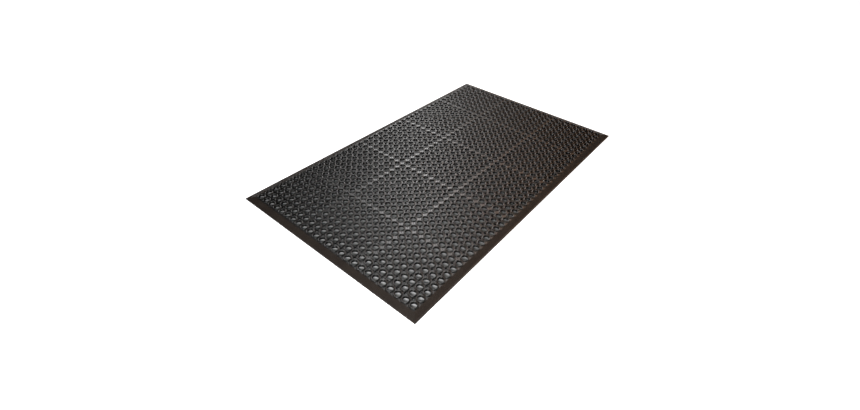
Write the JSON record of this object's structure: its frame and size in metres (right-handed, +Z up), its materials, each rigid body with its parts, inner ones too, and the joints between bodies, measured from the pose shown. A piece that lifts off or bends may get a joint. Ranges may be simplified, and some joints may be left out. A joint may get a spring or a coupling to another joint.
{
  "type": "anti fatigue mat",
  "caption": "Rectangular black rubber drainage mat with rimmed round holes on a square grid, solid panel lines, bevelled edges and short feet.",
  "frame": {"origin": "middle of the mat's outline, on the floor that it lies on", "axes": "+X along the long side, +Y along the short side, +Z up"},
  "size_m": [1.524, 0.9102, 0.0127],
  "materials": {
    "deck_rubber": "matte moulded",
    "ramp_rubber": "matte moulded, cross-ribbed"
  },
  "bodies": {
    "root": {"deck_row1_column1": "deck_rubber", "deck_row1_column2": "deck_rubber", "deck_row1_column3": "deck_rubber", "deck_row1_column4": "deck_rubber", "deck_row1_column5": "deck_rubber", "deck_row2_column1": "deck_rubber", "deck_row2_column2": "deck_rubber", "deck_row2_column3": "deck_rubber", "deck_row2_column4": "deck_rubber", "deck_row2_column5": "deck_rubber", "deck_row3_column1": "deck_rubber", "deck_row3_column2": "deck_rubber", "deck_row3_column3": "deck_rubber", "deck_row3_column4": "deck_rubber", "deck_row3_column5": "deck_rubber", "ramp_front": "ramp_rubber", "ramp_right": "ramp_rubber", "ramp_back": "ramp_rubber", "ramp_left": "ramp_rubber"}
  },
  "joints": []
}
